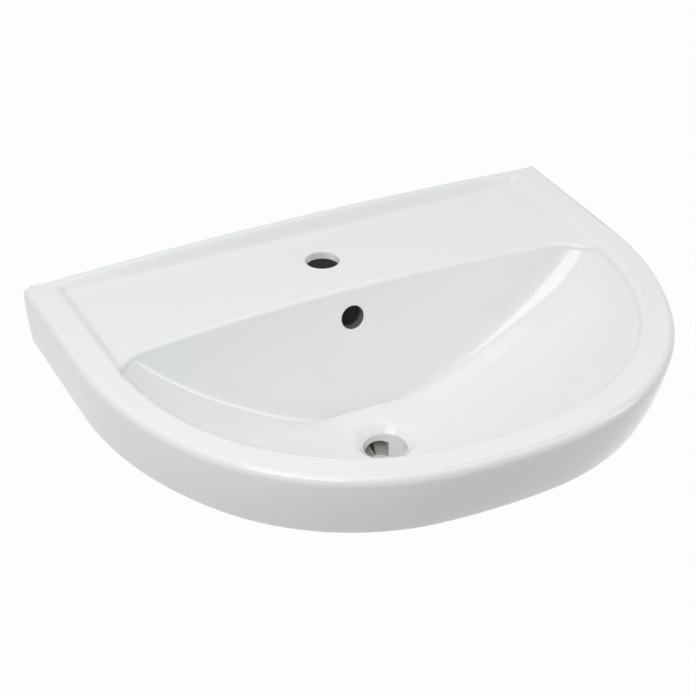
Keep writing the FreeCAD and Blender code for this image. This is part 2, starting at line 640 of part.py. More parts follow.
def make_holes(body):
    """Outlet, tap hole, overflow hole and the two fixing holes."""
    outlet = sketch_on(body, "outlet_outline", "XY_Plane", "-(Sizes.bowl_depth - Sizes.boss_wall)")
    round_hole(outlet, "0", "-Sizes.drain_from_wall", "Sizes.waste_bore")
    pocket(body, "outlet", outlet, f"{BOSS_FOOT} - Sizes.bowl_depth + 2 * Sizes.boss_wall")

    tap = sketch_on(body, "tap_outline", "XY_Plane", "0")
    round_hole(tap, "0", "-Sizes.tap_from_wall", "Sizes.tap_bore")
    pocket(body, "tap_hole", tap, f"{CEILING} + Sizes.deck_drop")

    overflow = sketch_on(body, "overflow_outline", "XZ_Plane",
                         "Sizes.bowl_back - Sizes.shell_wall / 2")
    round_hole(overflow, "0", "-Sizes.overflow_depth", "Sizes.overflow_bore")
    pocket(body, "overflow", overflow, "Sizes.shell_wall * 3", flip=True)

    fixing = sketch_on(body, "fixing_outline", "XZ_Plane", f"{PLATE_WALL} * 1.5")
    for side in ("-", ""):
        round_hole(fixing, f"{side}Sizes.bolt_spacing / 2", "-Sizes.rim_above_bolts",
                   "Sizes.fixing_bore")
    pocket(body, "fixing_holes", fixing, f"{PLATE_WALL} * 2")


def make_basin(doc):
    body = doc.addObject("PartDesign::Body", "basin_body")
    body.Label = "basin_body"
    make_casting(body)
    make_window(body)
    loft(body, "jacket", bowl_contours(body, "jacket_contour", JACKET_SHARES, True))
    make_boss(body)
    make_plate(body)
    make_duct_body(body)
    make_deck(body)
    make_upstand(body)
    make_wall_face(body)
    loft(body, "bowl", bowl_contours(body, "bowl_contour", CAVITY_SHARES, False), adds=False)
    make_waste_seat(body)
    make_duct(body)
    make_holes(body)
    body.setExpression("Placement.Base.z", "Sizes.rim_above_bolts")
    return body


# ---------------------------------------------------------------- wall fixings
# Each fixing piece is built upright: its local +Z points out of the wall, along the bolt.

def fixing_body(doc, side, kind, seat):
    """An empty body on one bolt's axis, at a distance in front of the wall face."""
    body = doc.addObject("PartDesign::Body", f"{side}_{kind}")
    body.Label = f"{side}_{kind}"
    body.Placement = FreeCAD.Placement(Vector(0, 0, 0), Rotation(Vector(1, 0, 0), 90))
    sign = "-" if side == "left" else ""
    body.setExpression("Placement.Base.x", f"{sign}Sizes.bolt_spacing / 2")
    body.setExpression("Placement.Base.y", f"-({seat})")
    return body


def turned_piece(doc, side, kind, seat, corners):
    """A turned piece from its half section, given as pairs of radius and height."""
    body = fixing_body(doc, side, kind, seat)
    sketch = sketch_on(body, f"{side}_{kind}_section", "XZ_Plane", "0")
    polygon(sketch, corners)
    turn(body, f"{side}_{kind}_form", sketch)
    return body


def make_hanger_bolt(doc, side):
    """Wood thread in the plug, metric thread in front of the wall."""
    end = "(Sizes.bolt_size / 2 - Sizes.bolt_end_bevel)"
    shank = "Sizes.bolt_shank / 2"
    reach = (f"({PLATE_WALL} + Sizes.flange_thick + Sizes.washer_thick + Sizes.nut_thick"
             " + Sizes.bolt_spare)")
    return turned_piece(doc, side, "hanger_bolt", "0", [
        ("0", "-Sizes.bolt_inside"),
        (shank, "-(Sizes.bolt_inside - Sizes.bolt_point)"),
        (shank, "0"),
        ("Sizes.bolt_size / 2", "0"),
        ("Sizes.bolt_size / 2", f"{reach} - Sizes.bolt_end_bevel"),
        (end, reach),
        ("0", reach),
    ])


def make_wall_plug(doc, side):
    """A plug that grips the whole wood thread of the bolt, with rings beyond a plain collar."""
    outside = "(Sizes.bolt_shank / 2 + Sizes.plug_wall)"
    waist = f"({outside} - Sizes.plug_groove)"
    length = "(Sizes.bolt_inside + Sizes.plug_end)"
    corners = [("Sizes.bolt_shank / 2", "0"),
               ("Sizes.bolt_shank / 2", "-(Sizes.bolt_inside - Sizes.bolt_point)"),
               ("0", "-Sizes.bolt_inside"),
               ("0", f"-{length}")]
    for ring in range(PLUG_RINGS, 0, -1):
        pitch = f"({length} - Sizes.plug_collar) / {PLUG_RINGS}"
        corners.append((waist, f"-(Sizes.plug_collar + {pitch} * {ring})"))
        corners.append((outside, f"-(Sizes.plug_collar + {pitch} * {ring - 0.7:.1f})"))
        corners.append((outside, f"-(Sizes.plug_collar + {pitch} * {ring - 0.9:.1f})"))
    corners.append((waist, "-Sizes.plug_collar"))
    corners.append((outside, "-(Sizes.plug_collar - Sizes.plug_groove)"))
    corners.append((outside, "0"))
    return turned_piece(doc, side, "wall_plug", "0", corners)


def make_fixing_bush(doc, side):
    """A flanged sleeve that centres the bolt in the basin's hole."""
    sleeve = "(Sizes.fixing_bore / 2 - Sizes.sleeve_play)"
    foot = f"-({PLATE_WALL} - Sizes.sleeve_gap)"
    flange = "(Sizes.fixing_bore / 2 + Sizes.flange_ring)"
    return turned_piece(doc, side, "fixing_bush", PLATE_WALL, [
        (BUSH_BORE, foot),
        (sleeve, foot),
        (sleeve, "0"),
        (flange, "0"),
        (flange, "Sizes.flange_thick"),
        (BUSH_BORE, "Sizes.flange_thick"),
    ])


def make_washer(doc, side):
    edge = f"({BUSH_BORE} + Sizes.washer_ring)"
    return turned_piece(doc, side, "washer", f"{PLATE_WALL} + Sizes.flange_thick", [
        (BUSH_BORE, "0"),
        (edge, "0"),
        (edge, "Sizes.washer_thick"),
        (BUSH_BORE, "Sizes.washer_thick"),
    ])


def make_hex_nut(doc, side):
    seat = f"{PLATE_WALL} + Sizes.flange_thick + Sizes.washer_thick"
    body = fixing_body(doc, side, "hex_nut", seat)
    sketch = sketch_on(body, f"{side}_hex_nut_outline", "XY_Plane", "0")
    corner = "(Sizes.bolt_size / 2 + Sizes.nut_wall) / cos(30)"
    polygon(sketch, [(f"{corner} * cos({angle})", f"{corner} * sin({angle})")
                     for angle in range(0, 360, 60)])
    round_hole(sketch, "0", "0", "Sizes.bolt_size")
    pad(body, f"{side}_hex_nut_form", sketch, "Sizes.nut_thick")
    return body


def make_fixings(doc, side):
    makers = (make_hanger_bolt, make_wall_plug, make_fixing_bush, make_washer, make_hex_nut)
    return [make(doc, side) for make in makers]


# ---------------------------------------------------------------- build and write

def check(doc, nodes):
    for thing in doc.Objects:
        if "Invalid" in thing.State or "Error" in thing.State:
            raise RuntimeError(f"{thing.Name}: {thing.State}")
    for node in nodes:
        if node.Shape.isNull() or not node.Shape.isValid():
            raise RuntimeError(f"{node.Label} has no valid shape")


def main():
    doc = FreeCAD.newDocument("wall_hung_basin")
    make_sheet(doc)
    nodes = [make_basin(doc)] + make_fixings(doc, "left") + make_fixings(doc, "right")
    doc.recompute()
    check(doc, nodes)
    os.makedirs("parts", exist_ok=True)
    for node in nodes:
        node.Shape.exportStep(f"parts/{node.Label}.step")
        print(node.Label, len(node.Shape.Solids), round(node.Shape.Volume / 1000, 1), "cm3")


main()
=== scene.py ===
import math
from functools import cached_property

import bpy
import numpy as np
from mathutils import Matrix, Vector


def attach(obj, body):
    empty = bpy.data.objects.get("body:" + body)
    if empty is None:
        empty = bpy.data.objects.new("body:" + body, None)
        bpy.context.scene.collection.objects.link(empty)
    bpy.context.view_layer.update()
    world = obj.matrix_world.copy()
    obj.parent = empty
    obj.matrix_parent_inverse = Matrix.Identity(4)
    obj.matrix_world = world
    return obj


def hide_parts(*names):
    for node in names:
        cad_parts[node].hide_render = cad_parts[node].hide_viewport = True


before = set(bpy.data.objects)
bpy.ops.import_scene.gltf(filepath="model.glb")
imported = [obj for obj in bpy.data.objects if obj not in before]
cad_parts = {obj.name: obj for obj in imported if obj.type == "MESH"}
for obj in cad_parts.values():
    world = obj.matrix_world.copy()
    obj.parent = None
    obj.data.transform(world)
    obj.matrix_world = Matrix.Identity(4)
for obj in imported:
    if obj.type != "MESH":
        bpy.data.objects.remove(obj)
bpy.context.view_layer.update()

# ---------------------------------------------------------------- sizes

# Shapes are in millimetres, with z = 0 at the top of the rim and y = 0 on the wall's face.  A
# level is a depth under the rim's top.  A share is the size of a bowl contour against the mouth's.
RIM_Z = 70.0                                # the rim's top above the frame's origin
RIM_HALF, RIM_STRAIGHT, RIM_FRONT = 300.0, 158.0, 470.0
RIM_ROUND = 8.0
RIM_BOWS = (1.159, 0.8335, 1.924)           # side, shoulder and nose: see d_front
MOUTH_HALF, MOUTH_REACH = 266.0, 266.6
MOUTH_BOWS = (1.201, 0.8862, 1.428)
DRAIN_Y = -214.0
WIDEST_GAIN = 47.0                          # the mouth's widest line lies this far behind the drain

FLOOR_DEPTH, FLOOR_SHARE, FULLNESS = 144.0, 0.18, 0.86
WALL_Y, WALL_LEAN, WALL_BOW = -133.0, 0.2, 1760.0
CORNER_R, CORNER_GAIN = 38.0, 130.0         # the back corners' radius at the mouth, and its gain
ROLL_R, ROLL_LOSS = 7.0, 2.0                # the edge's rounding, and what it loses at the deck

DECK_DEPTH = 8.0
DECK_HALF, DECK_STEP = 271.0, 13.0          # where the deck's side steps start, and their width
DECK_FADE = (-205.0, -160.0)                # the side steps come in between these two y
CROWN, CROWN_HALF = 6.7, 274.0              # of the strip at the wall
STRIP_FALL = (4.0, 15.5)                    # the strip falls to the deck between these distances

LIP_Z, LIP_R, BORE_R = -154.0, 23.6, 23.0
FUNNEL_SLOPE = math.tan(math.radians(50.0))
FUNNEL_R, FUNNEL_RISE = 38.0, 6.0           # beyond this radius the funnel is this much steeper
FUNNEL_BLEND = 7.0

TAP_Y, TAP_R, TAP_LIP, TAP_BLOCK = -70.0, 17.5, 2.2, 27.0
CEILING_Z = -17.0                           # of the hollow, where the tap hole ends
TAP_WALL = (-12.5, -15.0, CEILING_Z)
OVERFLOW_Z, OVERFLOW_R, OVERFLOW_LIP = -40.0, 12.5, 1.6
OVERFLOW_BELOW, OVERFLOW_ABOVE, OVERFLOW_BLOCK = 18.0, 17.0, 18.0
DUCT_Y, DUCT_PARTS = -122.0, (0.35, 1.0)    # the overflow's bore is drawn back to this y

BACK_COLUMNS, FRONT_COLUMNS = 168, 204
AROUND = BACK_COLUMNS + FRONT_COLUMNS
CORNER_SHARE = 0.45                         # of the back columns, those on the corner arcs
RIM_CORNER = 0.15                           # of the back's half turn, each rim side's part
FAN_SHARE, WALL_SHARE = 0.26, 0.96          # contours of the bowl are drawn between these shares
FAN_RINGS, FAN_POWER = 25, 1.25
WALL_RINGS, WALL_SPREAD, WALL_SAMPLES = 58, 230.0, 400
EDGE_RINGS, ROLL_RINGS, EDGE_TRIALS = 8, 9, 4
DECK_RINGS, RIM_RINGS, DECK_PART = 49, 39, 0.80     # rings lie closer beyond this part of the way
LAP, LAP_DROP = 0.6, 0.16                   # how far the last ring goes over the solid's rounding
WALL_GAP, WALL_DROP = 0.05, 6.0             # and how it turns down before the wall's face
TAP_RINGS, OVERFLOW_RINGS, LIP_RINGS, INNER_RINGS = 7, 6, 5, 3

GLAZE, BARE, PAINTED_SHADE = 0, 1, 2               # material slots of the ware; the last is painted shade, a dark clay in the hollow and the overflow's duct
SHARP_ANGLE = 34.0                          # degrees between faces, past which an edge is sharp
FLOOR_REACH, FLOOR_Z = 60.0, -2.4           # the stage's floor, in metres


# ---------------------------------------------------------------- curves and heights

def step(value, low, high):
    """Smooth step: 3t^2 - 2t^3 of the share t of the way from low to high."""
    share = np.clip((value - low) / (high - low), 0.0, 1.0)
    return share * share * (3.0 - 2.0 * share)


def soft_min(first, second, reach):
    """The lower of two surfaces, rounded where they lie within reach of each other: t times the
    first and 1 - t times the second, less reach times t(1 - t).  t is half of one plus their
    difference over reach, held between 0 and 1."""
    share = np.clip(0.5 + 0.5 * (second - first) / reach, 0.0, 1.0)
    return second + (first - second) * share - reach * share * (1.0 - share)


def joining_centre(first, first_r, second, second_r, radius):
    """Centre, on the +x side, of a circle inside two circles that touches them both.  It lies at
    each circle's radius less its own from that circle's centre."""
    gap_1, gap_2 = first_r - radius, second_r - radius
    line_x, line_y = second[0] - first[0], second[1] - first[1]
    length = np.hypot(line_x, line_y)
    along = (gap_1 ** 2 - gap_2 ** 2 + length ** 2) / (2.0 * length)
    across = np.sqrt(np.maximum(gap_1 ** 2 - along ** 2, 0.0))
    x, y = line_x / length, line_y / length
    side = np.sign(-y)
    return first[0] + x * along - y * across * side, first[1] + y * along + x * across * side


def bearing(start, end):
    """Angle of the line from one point to another."""
    return np.arctan2(end[1] - start[1], end[0] - start[0])


def d_front(half, reach, bows):
    """The three arcs of a D's front half: radius and centre of the side, the shoulder and the
    nose, then the angles where they meet.  Each radius is its bow times one of an ellipse with
    half width a and reach b: b^2/a at the side, the root of ab at the shoulder, a^2/b at the
    nose."""
    side_r = bows[0] * reach ** 2 / half
    shoulder_r = bows[1] * math.sqrt(reach * half)
    nose_r = bows[2] * half ** 2 / reach
    side, nose = (half - side_r, 0.0), (0.0, nose_r - reach)
    shoulder = joining_centre(side, side_r, nose, nose_r, shoulder_r)
    turns = bearing(side, shoulder), bearing(nose, shoulder)
    return (side_r, side), (shoulder_r, shoulder), (nose_r, nose), turns


def columns():
    """Where each column lies on the plan curve, folded onto its right half: the stretch (0 corner,
    1 back, 2 side, 3 shoulder, 4 nose), the share of the way along it, and the side of x."""
    turn = np.arange(BACK_COLUMNS) / BACK_COLUMNS
    fold = 2.0 * np.minimum(turn, 1.0 - turn)
    back_kind = np.where(fold < CORNER_SHARE, 0, 1)
    back_part = np.where(fold < CORNER_SHARE, fold / CORNER_SHARE,
                         (fold - CORNER_SHARE) / (1 - CORNER_SHARE))
    third = FRONT_COLUMNS // 6
    count = np.arange(FRONT_COLUMNS)
    run = np.minimum(count, FRONT_COLUMNS - count)
    front_kind = np.minimum(2 + run // third, 4)
    front_part = (run - (front_kind - 2) * third) / third
    kind = np.concatenate([back_kind, front_kind])
    part = np.concatenate([back_part, front_part])
    sign = np.concatenate([np.where(turn <= 0.5, 1.0, -1.0),
                           np.where(count <= FRONT_COLUMNS // 2, -1.0, 1.0)])
    return kind, part, sign


def on_arc(centre, radius, begin, end, part):
    """Centre plus radius times the cosine and sine of the angle a part of the way from begin to
    end."""
    angle = begin + (end - begin) * part
    return centre[0] + radius * np.cos(angle), centre[1] + radius * np.sin(angle)


def level_of(share):
    """Level of a contour: the deck's, plus the rest of the depth times a power of one minus the
    share squared."""
    rise = (1.0 - share ** 2) / (1.0 - FLOOR_SHARE ** 2)
    return DECK_DEPTH + (FLOOR_DEPTH - DECK_DEPTH) * rise ** FULLNESS


def share_of(level):
    """Share of the contour at a level: level_of turned round."""
    rise = np.clip((level - DECK_DEPTH) / (FLOOR_DEPTH - DECK_DEPTH), 0.0, None)
    inside = 1.0 - (1.0 - FLOOR_SHARE ** 2) * rise ** (1.0 / FULLNESS)
    return np.sqrt(np.clip(inside, 0.0, 1.0))


def back_wall(level, x):
    """The bowl's back wall: it leans forward on the way down, by a part of the level, and bows
    forward at the sides on a circle."""
    return WALL_Y - WALL_LEAN * level - WALL_BOW + np.sqrt(WALL_BOW ** 2 - x ** 2)


def bowl_plan(level):
    """Plan of the bowl at each level (rows of levels by columns): a D's front that shrinks about
    the drain's axis by the contour's share, the back wall's arc, and a corner arc that touches
    both."""
    share = share_of(level)
    kind, part, sign = columns()
    (side_r, side), (shoulder_r, shoulder), (nose_r, nose), (turn_1, turn_2) = \
        d_front(MOUTH_HALF, MOUTH_REACH, MOUTH_BOWS)
    widest = DRAIN_Y + WIDEST_GAIN * share
    side_centre = (share * side[0], widest)
    shoulder_centre = (share * shoulder[0], widest + share * shoulder[1])
    nose_centre = (0.0, widest + share * nose[1])
    wall_centre = (0.0 * share, WALL_Y - WALL_LEAN * level - WALL_BOW)
    corner_r = share * (CORNER_R + CORNER_GAIN * (1.0 - share))
    corner = joining_centre(side_centre, share * side_r, wall_centre, WALL_BOW, corner_r)
    from_side, to_wall = bearing(side_centre, corner), bearing(wall_centre, corner)
    stretches = (on_arc(corner, corner_r, from_side, to_wall, part),
                 on_arc(wall_centre, WALL_BOW, to_wall, math.pi / 2, part),
                 on_arc(side_centre, share * side_r, from_side, turn_1, part),
                 on_arc(shoulder_centre, share * shoulder_r, turn_1, turn_2, part),
                 on_arc(nose_centre, share * nose_r, turn_2, -math.pi / 2, part))
    wanted = [np.broadcast_to(kind == number, level.shape) for number in range(len(stretches))]
    x = np.select(wanted, [np.broadcast_to(pair[0], level.shape) for pair in stretches])
    y = np.select(wanted, [np.broadcast_to(pair[1], level.shape) for pair in stretches])
    return x * sign, y


def top_height(x, y):
    """Height of the rim, the deck and the crowned strip.  Smooth steps lead down to the deck from
    the rim at the sides and from the strip at the wall, whose crown is one minus the share of x
    squared."""
    sides = step(DECK_HALF - np.abs(x), 0.0, DECK_STEP) * step(y, *DECK_FADE)
    deck = -DECK_DEPTH * sides
    crown = CROWN * np.clip(1.0 - (x / CROWN_HALF) ** 2, 0.0, 1.0)
    return crown + (deck - crown) * step(-y, *STRIP_FALL)


def funnel_height(x, y, floor):
    """The lower of the floor and a cone that rises from the lip of the outlet, and more steeply
    beyond a radius, where it has to clear the back wall."""
    radius = np.hypot(x, y - DRAIN_Y)
    steeper = np.maximum(radius - FUNNEL_R, 0.0) * FUNNEL_RISE
    cone = LIP_Z + (radius - LIP_R) * FUNNEL_SLOPE + steeper
    return soft_min(floor, cone, FUNNEL_BLEND)


# ---------------------------------------------------------------- the ware's upper side

def outer_curve():
    """The flat rim's outer edge, column by column: the D's arcs, inset by the rounding, with its
    straight sides and its back opposite the bowl's back columns.  Along the back x is a cosine
    stretched and cut off at the sides, where y runs evenly down the straight side."""
    kind, part, sign = columns()
    (side_r, side), (shoulder_r, shoulder), (nose_r, nose), (turn_1, turn_2) = \
        d_front(RIM_HALF, RIM_FRONT - RIM_STRAIGHT, RIM_BOWS)
    arcs = (on_arc(side, side_r - RIM_ROUND, 0.0, turn_1, part),
            on_arc(shoulder, shoulder_r - RIM_ROUND, turn_1, turn_2, part),
            on_arc(nose, nose_r - RIM_ROUND, turn_2, -math.pi / 2, part))
    wanted = [kind == number for number in (2, 3, 4)]
    front_x = (np.select(wanted, [pair[0] for pair in arcs]) * sign)[BACK_COLUMNS:]
    front_y = (np.select(wanted, [pair[1] for pair in arcs]) - RIM_STRAIGHT)[BACK_COLUMNS:]
    edge = RIM_HALF - RIM_ROUND
    turn = np.linspace(0.0, math.pi, BACK_COLUMNS, endpoint=False)
    corner = math.pi * RIM_CORNER
    x = np.clip(edge * np.cos(turn) / math.cos(corner), -edge, edge)
    along = np.minimum(turn, math.pi - turn) / corner
    y = -RIM_STRAIGHT * (1.0 - np.clip(along, 0.0, 1.0))
    return np.concatenate([x, front_x]), np.concatenate([y, front_y])


def outward(x, y):
    """Unit plan normals of a closed anticlockwise curve: the line between each point's
    neighbours, turned a quarter to the right."""
    dx = np.roll(x, -1) - np.roll(x, 1)
    dy = np.roll(y, -1) - np.roll(y, 1)
    length = np.hypot(dx, dy)
    return dy / length, -dx / length


def ring(x, y, z):
    """One ring of points."""
    return np.stack([x, y, np.broadcast_to(z, x.shape)], 1)


def floor_rings():
    """Circles on the outlet's lip, then rings that go out along the rays from the drain's axis to
    the first contour.  The height is that of the contour at the same part of the way, run into
    the funnel."""
    x, y = bowl_plan(np.full((1, AROUND), level_of(FAN_SHARE)))
    x, y = x[0], y[0]
    reach = np.hypot(x, y - DRAIN_Y)
    ray_x, ray_y = x / reach, (y - DRAIN_Y) / reach
    lip = ((BORE_R - 0.2, LIP_Z - 1.0), (BORE_R - 0.1, LIP_Z - 0.4), (BORE_R + 0.2, LIP_Z))
    rings = [ring(ray_x * radius, ray_y * radius + DRAIN_Y, height) for radius, height in lip]
    for part in np.linspace(0.0, 1.0, FAN_RINGS + 1)[:-1] ** FAN_POWER:
        radius = LIP_R + (reach - LIP_R) * part
        x, y = ray_x * radius, ray_y * radius + DRAIN_Y
        floor = -level_of(FAN_SHARE * radius / reach)
        rings.append(ring(x, y, funnel_height(x, y, floor)))
    return rings


def wall_rings():
    """Contours of the bowl, spaced evenly along its slope, whose length is taken as the level
    climbed plus a fixed spread times the change of share.  Gives the last level as well."""
    shares = np.linspace(FAN_SHARE, WALL_SHARE, WALL_SAMPLES)
    travel = WALL_SPREAD * (shares - FAN_SHARE) + (level_of(FAN_SHARE) - level_of(shares))
    picked = np.interp(np.linspace(0.0, travel[-1], WALL_RINGS), travel, shares)
    levels = np.repeat(level_of(picked)[:, None], AROUND, 1)
    plan_x, plan_y = bowl_plan(levels)
    rings = [ring(x, y, funnel_height(x, y, -level))
             for x, y, level in zip(plan_x, plan_y, levels)]
    return rings, level_of(picked[-1])


def edge_rings(last):
    """Contours from the last level up to the edge's rounding, then a quarter round out onto the
    ground above.  The rounding starts its own radius under that ground, which repeated trials
    find.  Gives the plan of the rounding's outer line as well."""
    ground = np.zeros(AROUND)
    for _ in range(EDGE_TRIALS):
        roll = ROLL_R + ground / DECK_DEPTH * ROLL_LOSS
        edge_x, edge_y = (plan[0] for plan in bowl_plan((roll - ground)[None, :]))
        ground = top_height(edge_x, edge_y)
    rings = []
    for part in np.linspace(0.0, 1.0, EDGE_RINGS + 1)[1:]:
        level = last + (roll - ground - last) * part
        x, y = bowl_plan(level[None, :])
        rings.append(ring(x[0], y[0], -level))
    out_x, out_y = outward(edge_x, edge_y)
    for turn in np.linspace(0.0, math.pi / 2, ROLL_RINGS + 1)[1:]:
        run = roll * (1.0 - math.cos(turn))
        x, y = edge_x + out_x * run, edge_y + out_y * run
        rings.append(ring(x, y, top_height(x, y) - roll * (1.0 - math.sin(turn))))
    return rings, (edge_x + out_x * roll, edge_y + out_y * roll)


def deck_rings(inner):
    """Rings that go in straight lines from the bowl's edge to the rim's, at the top's height, and
    one more that laps over the solid's rounding and turns down before the wall's face."""
    inner_x, inner_y = inner
    outer_x, outer_y = outer_curve()
    rings = []
    for part in np.concatenate([np.linspace(0.0, DECK_PART, DECK_RINGS + 1)[1:],
                                np.linspace(DECK_PART, 1.0, RIM_RINGS + 1)[1:]]):
        x = inner_x + (outer_x - inner_x) * part
        y = inner_y + (outer_y - inner_y) * part
        rings.append(ring(x, y, top_height(x, y)))
    out_x, out_y = outward(outer_x, outer_y)
    along_wall = outer_y > -0.5
    x = np.where(along_wall, outer_x, outer_x + out_x * LAP)
    y = np.where(along_wall, outer_y - WALL_GAP, outer_y + out_y * LAP)
    z = np.where(along_wall, -WALL_DROP, -LAP_DROP)
    rings.append(ring(x, np.minimum(y, -WALL_GAP), z))
    return rings


class Skin:
    """Points, faces and the material of each face, put together from grids and rings."""

    def __init__(self):
        self.points, self.faces, self.slots, self.count = [], [], [], 0

    def add(self, points, faces, slot=GLAZE):
        self.points.append(points)
        self.faces.append(faces + self.count)
        self.slots.append(np.full(len(faces), slot))
        self.count += len(points)

    def arrays(self):
        return np.concatenate(self.points), np.concatenate(self.faces), np.concatenate(self.slots)


def ring_faces(rings, around):
    """Quads between successive closed rings of the same count."""
    row, column = np.meshgrid(np.arange(rings - 1), np.arange(around), indexing="ij")
    after = (column + 1) % around
    return np.stack([(row + 1) * around + column, (row + 1) * around + after,
                     row * around + after, row * around + column], -1).reshape(-1, 4)


def block_about(grid, rows, axis, low, high, half):
    """The first and last row, and the back columns, of the grid's block about a hole: the given
    rows whose middle point lies between low and high on the axis, and the columns whose x is
    within half."""
    line = grid[rows, BACK_COLUMNS // 2, axis]
    inside = rows[(line > low) & (line < high)]
    first, last = inside[0], inside[-1]
    across = np.abs(grid[(first + last) // 2, :BACK_COLUMNS, 0])
    span = np.nonzero(across < half)[0]
    return first, last, np.arange(span[0], span[-1] + 1)


def block_loop(grid, block):
    """Points of the border of a block of the grid, anticlockwise."""
    first, last, span = block
    up, down = np.arange(first + 1, last + 1), np.arange(last - 1, first, -1)
    row = np.concatenate([np.full(len(span), first), up, np.full(len(span) - 1, last), down])
    column = np.concatenate([span, np.full(len(up), span[-1]), span[-2::-1],
                             np.full(len(down), span[0])])
    return grid[row, column]


def holed_grid(skin, grid, blocks):
    """Adds the grid of points as closed rings, leaving out blocks of cells."""
    rings, around = grid.shape[:2]
    faces = ring_faces(rings, around)
    row = np.repeat(np.arange(rings - 1), around)
    column = np.tile(np.arange(around), rings - 1)
    keep = np.ones(len(faces), bool)
    for first, last, span in blocks:
        keep &= ~((row >= first) & (row < last) & (column >= span[0]) & (column < span[-1]))
    skin.add(grid.reshape(-1, 3), faces[keep])


def hole_rings(u, v, centre, radius, lip, count, place):
    """Rings from a block's border in to a hole about u = 0 and v = centre.  The first go evenly
    from the border to the circle of radius plus lip, and the rest over a quarter round of radius
    lip into the hole.  place gives the point of u, v and the depth sunk."""
    angle = np.arctan2(v - centre, u)
    cosine, sine = np.cos(angle), np.sin(angle)
    rings = []
    for part in np.linspace(0.0, 1.0, count):
        rings.append(place(u * (1 - part) + (radius + lip) * cosine * part,
                           v * (1 - part) + (centre + (radius + lip) * sine) * part, 0.0))
    for turn in np.linspace(0.0, math.pi / 2, LIP_RINGS + 1)[1:]:
        reach = radius + lip * (1.0 - math.sin(turn))
        rings.append(place(reach * cosine, centre + reach * sine, lip * (1.0 - math.cos(turn))))
    return rings


def tap_rings(loop):
    """The tap hole: rings on the deck, over its lip and straight down to the hollow."""
    rings = hole_rings(loop[:, 0], loop[:, 1], TAP_Y, TAP_R, TAP_LIP, TAP_RINGS,
                       lambda x, y, sunk: ring(x, y, top_height(x, y) - sunk))
    x, y = rings[-1][:, 0], rings[-1][:, 1]
    return np.array(rings + [ring(x, y, height) for height in TAP_WALL])


def overflow_rings(loop):
    """The overflow hole: rings on the back wall, over its lip and back into the duct."""
    rings = hole_rings(loop[:, 0], loop[:, 2], OVERFLOW_Z, OVERFLOW_R, OVERFLOW_LIP, OVERFLOW_RINGS,
                       lambda x, z, sunk: ring(x, back_wall(-z, x) + sunk, z))
    x, z = rings[-1][:, 0], rings[-1][:, 2]
    near = back_wall(-z, x) + OVERFLOW_LIP
    far = DUCT_Y + WALL_LEAN * z
    return np.array(rings + [ring(x, near + (far - near) * part, z) for part in DUCT_PARTS])


def build_upper(skin):
    """The outlet's lip, the bowl, its edge, the deck and the rim as one grid of rings, with the
    tap hole and the overflow hole in it."""
    walls, last = wall_rings()
    edges, inner = edge_rings(last)
    below = floor_rings() + walls + edges
    grid = np.array(below + deck_rings(inner))
    tap = block_about(grid, np.arange(len(below), len(grid)), 1,
                      TAP_Y - TAP_BLOCK, TAP_Y + TAP_BLOCK, TAP_BLOCK)
    hole = block_about(grid, np.arange(len(below) - 1), 2,
                       OVERFLOW_Z - OVERFLOW_BELOW, OVERFLOW_Z + OVERFLOW_ABOVE, OVERFLOW_BLOCK)
    holed_grid(skin, grid, [tap, hole])
    # The overflow's bore and duct get painted shade, a dark clay; the tap hole stays glazed.
    for block, rings, slot in ((tap, tap_rings, GLAZE), (hole, overflow_rings, PAINTED_SHADE)):
        made = rings(block_loop(grid, block))
        outer, inside = made[:len(made) - INNER_RINGS + 1], made[len(made) - INNER_RINGS:]
        skin.add(outer.reshape(-1, 3), ring_faces(*outer.shape[:2]))
        skin.add(inside.reshape(-1, 3), ring_faces(*inside.shape[:2]), slot)


# ---------------------------------------------------------------- the ware's lower side

# The solid's faces are sorted by their place and by their unit normal, so these are limits in
# millimetres and parts of a unit normal.
SAME, SAME_ROUND = 0.05, 0.6                # two levels, and two radii, this close are the same
UPWARD, BACKWARD = 0.99, 0.9
LEDGE_R, BORE_LEVEL = 27.0, 150.0           # the outlet's seat, and where its bore begins
STRAIGHT_X, FRONT_INSET = 283.0, 5.0        # inside these the solid's top is drawn by the skin
HIGH_POINT = np.array([0.0, -250.0, 150.0])     # the bowl's faces look toward this, in the frame
NEAR_WALL, NEAR_FLOOR, FLOOR_LEVEL = 8.0, 20.0, 100.0
OVERFLOW_FROM, OVERFLOW_TO = -150.0, -124.0
APRON, APRON_INSET, APRON_END = 74.0, (4.0, 36.0), 84.0
SIDE_X, FOOT_LEVEL, FOOT_INSET = 287.0, 55.0, 50.0
HOLLOW_LEVEL, HOLLOW_HALF, HOLLOW_GAP = 12.0, 290.0, 6.0
EDGE_LEVEL = 30.0                           # faces that look down below this are lower edges
THINNEST = 0.01                             # triangles thinner than this are dropped
TABLE_LEVELS, TABLE_TURNS = 60, 360


def outline_reach(angle, x, y):
    """Distance from the drain's axis to a closed plan curve in each direction."""
    around = np.arctan2(y - DRAIN_Y, x)
    order = np.argsort(around)
    return np.interp(angle, around[order], np.hypot(x, y - DRAIN_Y)[order], period=2 * math.pi)


def bowl_reach(level, angle):
    """Distance from the drain's axis to the bowl's contour, from a table of levels by turns."""
    levels = np.linspace(DECK_DEPTH, FLOOR_DEPTH - 0.1, TABLE_LEVELS)
    turns = np.linspace(-math.pi, math.pi, TABLE_TURNS + 1)
    plans = zip(*bowl_plan(np.repeat(levels[:, None], AROUND, 1)))
    table = np.array([outline_reach(turns, x, y) for x, y in plans])
    row = np.clip(np.rint((level - levels[0]) / (levels[1] - levels[0])), 0, TABLE_LEVELS - 1)
    column = np.rint((angle + math.pi) / (2.0 * math.pi) * TABLE_TURNS)
    return table[row.astype(int), column.astype(int)]


